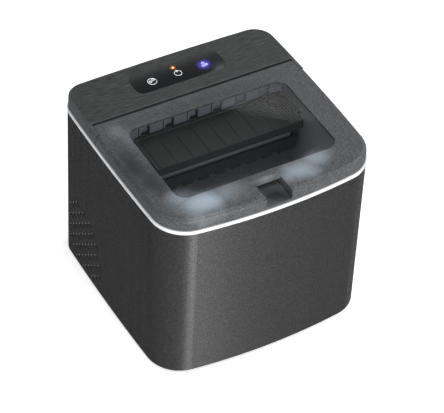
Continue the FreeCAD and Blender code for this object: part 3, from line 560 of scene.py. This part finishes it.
# %% Back, floor and feet
dress(moulded("back_black", (0.022, 0.022, 0.024), (0.035, 0.035, 0.037), 800.0, 0.55, 0.3),
      "rear_panel", "base_pan", "fan_shroud", "probe_holder")
dress(moulded("rubber_black", (0.012, 0.012, 0.012), (0.024, 0.024, 0.024), 500.0, 0.85, 0.3),
      "rubber_feet", "compressor_mounts", "drain_seal")
dress(moulded("inlet_black", (0.01, 0.01, 0.01), (0.02, 0.02, 0.02), 800.0, 0.4, 0.1),
      "power_inlet", "terminal_cover", "valve_coil", "board_components")
dress(moulded("fan_grey", (0.04, 0.04, 0.042), (0.06, 0.06, 0.062), 800.0, 0.45, 0.1),
      "fan_rotor", "pump_housing", "pump_impeller", "drain_cap")
dress(moulded("foam_cream", (0.62, 0.60, 0.50), (0.80, 0.78, 0.68), 260.0, 0.95, 0.6), "foam_insulation")
dress(moulded("post_white", (0.6, 0.6, 0.58), (0.75, 0.75, 0.73), 600.0, 0.5, 0.05), "board_posts")
dress(moulded("compressor_black", (0.008, 0.008, 0.008), (0.016, 0.016, 0.016), 400.0, 0.25, 0.1,
              Coat_Weight=0.5), "compressor")
dress(moulded("board_green", (0.01, 0.07, 0.03), (0.02, 0.13, 0.05), 300.0, 0.35, 0.1),
      "control_board", "main_board")
print("moulded finishes done")

# %% [markdown]
# Screws, tubes and fins are drawn or rolled, so each has lines along its own length.

# %% Metals inside
dress(drawn_metal("zinc_plate", (0.42, 0.43, 0.44), (0.62, 0.62, 0.63), (300.0, 300.0, 20.0), 0.35),
      "rear_struts", "hinge_pins", "panel_screws", "cover_screws", "motor_screws", "level_probes",
      "fan_motor", "pump_motor", "tray_motor")
dress(drawn_metal("plated_fingers", (0.5, 0.49, 0.47), (0.72, 0.7, 0.67), (200.0, 200.0, 30.0), 0.3),
      "evaporator")
dress(drawn_metal("drawn_copper", (0.55, 0.25, 0.14), (0.78, 0.42, 0.28), (60.0, 60.0, 60.0), 0.33),
      "condenser_coil", "filter_drier", "discharge_line", "liquid_line", "capillary_line", "suction_line",
      "valve_body")
dress(drawn_metal("fin_aluminium", (0.6, 0.61, 0.63), (0.8, 0.8, 0.82), (20.0, 400.0, 400.0), 0.3),
      "condenser_fins")
hose_clear = moulded("hose_clear", (0.55, 0.58, 0.58), (0.7, 0.73, 0.73), 200.0, 0.15, 0.02, Alpha=0.6)
dress(hose_clear, "water_hose")
bare = [n for n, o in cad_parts.items() if not o.material_slots or o.material_slots[0].material is None]
print("nodes without a finish:", bare)

# %% [markdown]
# ## Helpers for modelling
#
# New pieces are made as a person would make them at the screen: add a primitive at its size and
# place, pick faces by where they are or where they point, and push them about in edit mode. These
# helpers start and finish that work. A finished piece keeps its place in its mesh, so its object
# goes back to the origin.

# %% Modelling helpers


def begin_editing(piece, mode="FACE"):
    """Make one object active, enter edit mode with nothing selected."""
    bpy.ops.object.select_all(action="DESELECT")
    piece.select_set(True)
    bpy.context.view_layer.objects.active = piece
    bpy.ops.object.mode_set(mode="EDIT")
    bpy.ops.mesh.select_mode(type=mode)
    bpy.ops.mesh.select_all(action="DESELECT")


def pick_faces(piece, test):
    """Select the faces whose centre and normal pass the test, and nothing else."""
    bpy.ops.mesh.select_all(action="DESELECT")
    bpy.ops.object.mode_set(mode="OBJECT")
    for face in piece.data.polygons:
        face.select = test(face.center, face.normal)
    bpy.ops.object.mode_set(mode="EDIT")


def apply_modifier(piece, kind, **settings):
    """Add a modifier with its settings and apply it."""
    bpy.ops.object.select_all(action="DESELECT")
    piece.select_set(True)
    bpy.context.view_layer.objects.active = piece
    modifier = piece.modifiers.new(kind.lower(), kind)
    for label, value in settings.items():
        setattr(modifier, label, value)
    bpy.ops.object.modifier_apply(modifier=modifier.name)


def settle(piece, name, finish, body):
    """Put the place into the mesh, smooth it, give it its finish and let it ride on a body."""
    bpy.ops.object.select_all(action="DESELECT")
    piece.select_set(True)
    bpy.context.view_layer.objects.active = piece
    bpy.ops.object.transform_apply(location=True, rotation=True, scale=True)
    bpy.ops.object.shade_smooth_by_angle(angle=math.radians(35))
    piece.name = piece.data.name = name
    piece.data.materials.clear()
    piece.data.materials.append(finish)
    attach(piece, body)
    return piece


def join(pieces):
    """Join several objects into the first."""
    bpy.ops.object.select_all(action="DESELECT")
    for piece in pieces:
        piece.select_set(True)
    bpy.context.view_layer.objects.active = pieces[0]
    bpy.ops.object.join()
    return pieces[0]


print("modelling helpers ready")

# %% [markdown]
# ## One ice bullet
#
# A finger evaporator freezes a hollow, thimble-shaped piece: a blunt round nose and an open end
# where the cold finger was. A lathe profile would do, but a short cylinder needs only three moves:
# its lower face is inset and pushed up for the hollow, and its upper face is stepped in twice for
# the nose. Subdivision then melts the steps together.

# %% Model the first bullet
BULLET_RADIUS, BULLET_LENGTH = 0.0122, 0.026
bpy.ops.object.select_all(action="DESELECT")
bpy.ops.mesh.primitive_cylinder_add(vertices=14, radius=BULLET_RADIUS, depth=BULLET_LENGTH)
bullet = bpy.context.active_object
begin_editing(bullet)
pick_faces(bullet, lambda centre, normal: normal.z > 0.9)
bpy.ops.mesh.extrude_region_move(TRANSFORM_OT_translate={"value": (0, 0, 0.0035)})
bpy.ops.transform.resize(value=(0.78, 0.78, 1))
bpy.ops.mesh.extrude_region_move(TRANSFORM_OT_translate={"value": (0, 0, 0.0015)})
bpy.ops.transform.resize(value=(0.5, 0.5, 1))
pick_faces(bullet, lambda centre, normal: normal.z < -0.9)
bpy.ops.mesh.inset(thickness=0.0042)
bpy.ops.mesh.extrude_region_move(TRANSFORM_OT_translate={"value": (0, 0, 0.019)})
bpy.ops.transform.resize(value=(0.7, 0.7, 1))
bpy.ops.mesh.inset(thickness=0.0015)
bpy.ops.object.mode_set(mode="OBJECT")
apply_modifier(bullet, "SUBSURF", levels=1, render_levels=1)
print("bullet faces:", len(bullet.data.polygons))

# %% [markdown]
# ## Let the ice fall into the basket
#
# Ice looks like ice when it lies as it fell. Placing some sixty bullets by hand never looks loose
# enough, so they are dropped in a rigid body simulation between five plain walls that stand where
# the basket's walls are. The start is seeded, so the heap is the same on every run. When the
# bullets are still, each one's place goes into its own mesh and the simulation is removed.

# %% [markdown]
# Ice is clear where it froze slowly and milky at its heart. Part of the light passes through, part is
# scattered by a pale uneven tone.

# %% Ice material
ice, tree, shader = new_finish("clear_ice", Roughness=0.1, IOR=1.31, Transmission_Weight=0.4)
cloudy = place_group(tree, grain_group, Dark=rgb(0.56, 0.66, 0.74), Light=rgb(0.90, 0.96, 1.0),
                     Grain_Scale=160.0, Roughness=0.1)
tree.links.new(cloudy.outputs["Color"], shader.inputs["Base Color"])
tree.links.new(cloudy.outputs["Roughness"], shader.inputs["Roughness"])
add_bump(tree, shader, cloudy.outputs["Height"], 0.25, 0.0006)
print("ice:", ice.name)

# %% [markdown]
# The fall takes ninety frames. A low friction and hardly any bounce let the pieces slide into a close
# heap instead of balancing on end.

# %% Drop the bullets
BULLETS = 62
FALL_FRAMES = 90
FULL_TURN = 6.28
basket_low, basket_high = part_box("ice_basket")
left, right_side = basket_low.x + 0.0050, basket_high.x - 0.0050
front, rear = basket_low.y + 0.0050, basket_high.y - 0.0022
floor_z = basket_low.z + 0.0021
random.seed(11)
scene = bpy.context.scene
bpy.ops.rigidbody.world_add()
scene.rigidbody_world.substeps_per_frame = 12
scene.rigidbody_world.point_cache.frame_end = FALL_FRAMES


def drop_wall(x0, x1, y0, y1, z0, z1):
    """Unseen block that holds the falling ice."""
    bpy.ops.mesh.primitive_cube_add(size=1, location=((x0 + x1) / 2, (y0 + y1) / 2, (z0 + z1) / 2),
                                    scale=(x1 - x0, y1 - y0, z1 - z0))
    wall = bpy.context.active_object
    bpy.ops.object.transform_apply(location=False, rotation=False, scale=True)
    bpy.ops.rigidbody.object_add(type="PASSIVE")
    wall.rigid_body.collision_shape = "BOX"
    wall.rigid_body.collision_margin = 0.0
    wall.rigid_body.friction = 0.3
    return wall


walls = [drop_wall(left - 0.05, right_side + 0.05, front - 0.05, rear + 0.05, floor_z - 0.05, floor_z),
         drop_wall(left - 0.05, left, front - 0.05, rear + 0.05, floor_z, 0.5),
         drop_wall(right_side, right_side + 0.05, front - 0.05, rear + 0.05, floor_z, 0.5),
         drop_wall(left - 0.05, right_side + 0.05, front - 0.05, front, floor_z, 0.5),
         drop_wall(left - 0.05, right_side + 0.05, rear, rear + 0.05, floor_z, 0.5)]

falling = []
for layer in range(9):
    for column in range(6):
        for row in range(2):
            if len(falling) == BULLETS:
                break
            copy = bullet.copy()
            copy.data = bullet.data.copy()
            scene.collection.objects.link(copy)
            copy.location = (left + 0.018 + column * 0.032 + random.uniform(-0.003, 0.003),
                             front + 0.022 + row * 0.042 + random.uniform(-0.003, 0.003),
                             floor_z + 0.02 + layer * 0.034)
            copy.rotation_euler = [random.uniform(0, FULL_TURN) for _ in range(3)]
            bpy.ops.object.select_all(action="DESELECT")
            copy.select_set(True)
            bpy.context.view_layer.objects.active = copy
            bpy.ops.rigidbody.object_add(type="ACTIVE")
            copy.rigid_body.collision_shape = "CONVEX_HULL"
            copy.rigid_body.mass = 0.01
            copy.rigid_body.friction = 0.2
            copy.rigid_body.restitution = 0.05
            copy.rigid_body.use_margin = True
            copy.rigid_body.collision_margin = 0.0004
            falling.append(copy)
for step in range(1, FALL_FRAMES + 1):
    scene.frame_set(step)
resting = [piece.matrix_world.copy() for piece in falling]
bpy.ops.rigidbody.world_remove()
scene.frame_set(1)
for wall in walls:
    bpy.data.objects.remove(wall)
bpy.data.objects.remove(bullet)
highest = 0.0
for number, (piece, matrix) in enumerate(zip(falling, resting)):
    piece.matrix_world = matrix
    settle(piece, "ice_bullet_%02d" % (number + 1), ice, "ice_basket")
    highest = max(highest, max(v.co.z for v in piece.data.vertices))
print("ice bullets:", len(falling), "heap top at z", round(highest, 4))

# %% [markdown]
# ## Symbols on the control glass
#
# The touch keys are lit symbols under gloss glass. They could be drawn in the glass's material, but
# small raised meshes stay crisp at any distance. The power symbol is a thin ring with its top cut
# away and a short bar in the gap; the two others are little ice cubes, one set above a scoop and
# one on a round violet glow. A small amber lamp stands above the power symbol.

# %% [markdown]
# Lit ink glows by itself, so a symbol is emission with a trace of grain. A halo is the soft patch again,
# used as a glow that fades at its rim.

# %% Symbol finishes
glass_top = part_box("control_glass")[1].z
SYMBOL_Y = 0.103


def lit(name, colour, strength):
    """Evenly lit symbol ink."""
    finish, tree, shader = new_finish(name, Roughness=0.4, Emission_Strength=strength)
    grain_node = place_group(tree, grain_group, Dark=rgb(*[0.8 * c for c in colour]), Light=rgb(*colour),
                             Grain_Scale=2000.0, Roughness=0.4)
    tree.links.new(grain_node.outputs["Color"], shader.inputs["Base Color"])
    tree.links.new(grain_node.outputs["Color"], shader.inputs["Emission Color"])
    return finish


def halo(name, inner, outer, centre, radius, strength):
    """Round glow that fades to nothing at its rim."""
    finish, tree, shader = new_finish(name, Roughness=0.5, Emission_Strength=strength)
    patch = place_group(tree, soft_patch_group, Centre=centre, Spread=(radius, radius, 0.02), Strength=1.0)
    tree.links.new(blend_colours(tree, patch.outputs["Mask"], rgb(*outer), rgb(*inner)),
                   shader.inputs["Emission Color"])
    shader.inputs["Base Color"].default_value = rgb(0, 0, 0)
    tree.links.new(patch.outputs["Mask"], shader.inputs["Alpha"])
    return finish


white_ink = lit("symbol_white", (0.9, 0.92, 0.95), 0.75)
print("inks:", white_ink.name)

# %% [markdown]
# A torus with its top faces deleted and the ends filled is a ring with a clear gap, and a thin
# bevelled bar stands in the gap.

# %% Power symbol
bpy.ops.object.select_all(action="DESELECT")
bpy.ops.mesh.primitive_torus_add(location=(0, SYMBOL_Y, glass_top), major_radius=0.0046,
                                 minor_radius=0.00030, major_segments=40, minor_segments=8)
ring = bpy.context.active_object
begin_editing(ring)
pick_faces(ring, lambda centre, normal: abs(centre.x) < 0.0025 and centre.y > SYMBOL_Y)
bpy.ops.mesh.delete(type="FACE")
bpy.ops.mesh.select_all(action="SELECT")
bpy.ops.mesh.fill_holes(sides=0)
bpy.ops.mesh.normals_make_consistent(inside=False)
bpy.ops.object.mode_set(mode="OBJECT")
bpy.ops.mesh.primitive_cube_add(size=1, location=(0, SYMBOL_Y + 0.0040, glass_top),
                                scale=(0.0008, 0.0044, 0.0006))
bar = bpy.context.active_object
bpy.ops.object.transform_apply(scale=True)
apply_modifier(bar, "BEVEL", width=0.0002, segments=2)
settle(join([ring, bar]), "power_symbol", white_ink, "cabinet")
print("power symbol at y", SYMBOL_Y)


# %% [markdown]
# A cube seen from above is a square. Its middle is inset and pushed down, which leaves a raised frame
# that reads as an outline.

# %% Cube symbols


def small_cube(x, y, size, turn_degrees):
    """Outline of a little ice cube: a square with its middle cut down to a frame."""
    bpy.ops.object.select_all(action="DESELECT")
    bpy.ops.mesh.primitive_cube_add(size=1, location=(x, y, glass_top), scale=(size, size, 0.0006),
                                    rotation=(0, 0, math.radians(turn_degrees)))
    cube = bpy.context.active_object
    bpy.ops.object.transform_apply(scale=True)
    begin_editing(cube)
    pick_faces(cube, lambda centre, normal: normal.z > 0.9)
    bpy.ops.mesh.inset(thickness=size * 0.16)
    bpy.ops.mesh.extrude_region_move(TRANSFORM_OT_translate={"value": (0, 0, -0.00045)})
    bpy.ops.object.mode_set(mode="OBJECT")
    apply_modifier(cube, "BEVEL", width=size * 0.06, segments=1)
    return cube


def scoop(x, y, radius):
    """Half ring that holds the cubes."""
    bpy.ops.object.select_all(action="DESELECT")
    bpy.ops.mesh.primitive_torus_add(location=(x, y, glass_top), major_radius=radius, minor_radius=0.00028,
                                     major_segments=32, minor_segments=8)
    bow = bpy.context.active_object
    begin_editing(bow)
    pick_faces(bow, lambda centre, normal: centre.y > y + 0.0002)
    bpy.ops.mesh.delete(type="FACE")
    bpy.ops.mesh.select_all(action="SELECT")
    bpy.ops.mesh.fill_holes(sides=0)
    bpy.ops.mesh.normals_make_consistent(inside=False)
    bpy.ops.object.mode_set(mode="OBJECT")
    return bow


settle(join([scoop(-0.0355, SYMBOL_Y, 0.0056), small_cube(-0.0377, SYMBOL_Y + 0.0002, 0.0034, 10),
             small_cube(-0.0333, SYMBOL_Y + 0.0024, 0.0034, 35)]),
       "ice_symbol", white_ink, "cabinet")
settle(join([small_cube(0.0342, SYMBOL_Y - 0.0012, 0.0034, 10),
             small_cube(0.0384, SYMBOL_Y - 0.0004, 0.0032, -15),
             small_cube(0.0358, SYMBOL_Y + 0.0036, 0.0030, 35)]),
       "cleaning_symbol", white_ink, "cabinet")
print("symbols at z", round(glass_top, 4))

# %% [markdown]
# The glow and the lamp are thin discs on the glass, because a real light would also colour the deck.

# %% Glow disc and lamp


def thin_disc(x, y, radius, thickness):
    """Flat round disc with a softened rim."""
    bpy.ops.object.select_all(action="DESELECT")
    bpy.ops.mesh.primitive_cylinder_add(vertices=48, radius=radius, depth=thickness,
                                        location=(x, y, glass_top))
    disc = bpy.context.active_object
    begin_editing(disc)
    pick_faces(disc, lambda centre, normal: normal.z > 0.9)
    bpy.ops.mesh.inset(thickness=radius * 0.2)
    bpy.ops.transform.translate(value=(0, 0, thickness * 0.2))
    bpy.ops.object.mode_set(mode="OBJECT")
    return disc


GLOW_X, GLOW_Y = 0.0362, SYMBOL_Y + 0.0004
LAMP_X, LAMP_Y = -0.001, 0.1145
violet = halo("violet_glow", (0.20, 0.16, 0.95), (0.05, 0.03, 0.35), (GLOW_X, GLOW_Y, glass_top), 0.0115, 0.9)
settle(thin_disc(GLOW_X, GLOW_Y, 0.0105, 0.0002), "violet_glow", violet, "cabinet")
amber = halo("amber_glow", (1.0, 0.35, 0.05), (0.6, 0.10, 0.0), (LAMP_X, LAMP_Y, glass_top), 0.0042, 0.8)
settle(thin_disc(LAMP_X, LAMP_Y, 0.0040, 0.00016), "amber_glow", amber, "cabinet")
lamp = thin_disc(LAMP_X, LAMP_Y, 0.0013, 0.0006)
settle(lamp, "amber_lamp", lit("lamp_amber", (1.0, 0.45, 0.12), 2.2), "cabinet")
print("lamp and glow set")

# %% [markdown]
# ## Painted glints on the vent slot lips
#
# A punch leaves a small rolled lip at one end of each slot. The lip's pale metal finish is a painted
# glint, standing in for the bright dot of light that it catches. One lip is modelled as a short stub with
# a rounded crown, and copies stand at the rear end of every slot. The slots climb forward in slanting rows.

# %% One lip and its copies
SLOT_STEP, SLOT_CLIMB, ROW_STEP = 0.0087, 0.0075, 0.018
FIRST_SLOT_Y, FIRST_SLOT_Z = 0.108, 0.088
LIP_BACK, LIP_UP = 0.0042, 0.0007
SIDE_BOW, BOW_CENTRE, BOW_REACH = 0.003, 0.005, 0.1345
VENT_ROWS = [(0, 3), (0, 5), (0, 7), (0, 8), (1, 8), (2, 7), (5, 5), (7, 3)]
# Pale metal on the lips paints the glint of light at each slot.
painted_glint_lip = drawn_metal("painted_glint_lip", (0.7, 0.7, 0.7), (0.95, 0.95, 0.95), (400.0, 400.0, 400.0), 0.25)
body_low, body_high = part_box("body_shell")
half_width = (body_high.x - body_low.x) / 2


def wall_x(y):
    """Half width of the wrap at a place along its slightly bowed side."""
    return half_width - SIDE_BOW * ((y - BOW_CENTRE) / BOW_REACH) ** 2


bpy.ops.object.select_all(action="DESELECT")
bpy.ops.mesh.primitive_cylinder_add(vertices=10, radius=0.0010, depth=0.0016,
                                    rotation=(0, math.radians(-90), 0))
lip = bpy.context.active_object
bpy.ops.object.transform_apply(rotation=True)
begin_editing(lip)
pick_faces(lip, lambda centre, normal: normal.x < -0.9)
bpy.ops.mesh.inset(thickness=0.00035)
bpy.ops.transform.translate(value=(-0.0003, 0, 0))
bpy.ops.object.mode_set(mode="OBJECT")

lips = {-1: [], 1: []}
for row, (first, count) in enumerate(VENT_ROWS):
    for column in range(first, first + count):
        y = FIRST_SLOT_Y - SLOT_STEP * column + LIP_BACK
        z = FIRST_SLOT_Z + SLOT_CLIMB * column - ROW_STEP * row + LIP_UP
        for side in (-1, 1):
            copy = lip.copy()
            copy.data = lip.data.copy()
            bpy.context.scene.collection.objects.link(copy)
            copy.location = (side * (wall_x(y) - 0.0004), y, z)
            copy.rotation_euler = (0, 0, 0 if side < 0 else math.pi)
            lips[side].append(copy)
bpy.data.objects.remove(lip)
for side, label in ((-1, "left"), (1, "right")):
    settle(join(lips[side]), "vent_lips_" + label, painted_glint_lip, "cabinet")
print("vent lips:", len(VENT_ROWS), "rows on each side")
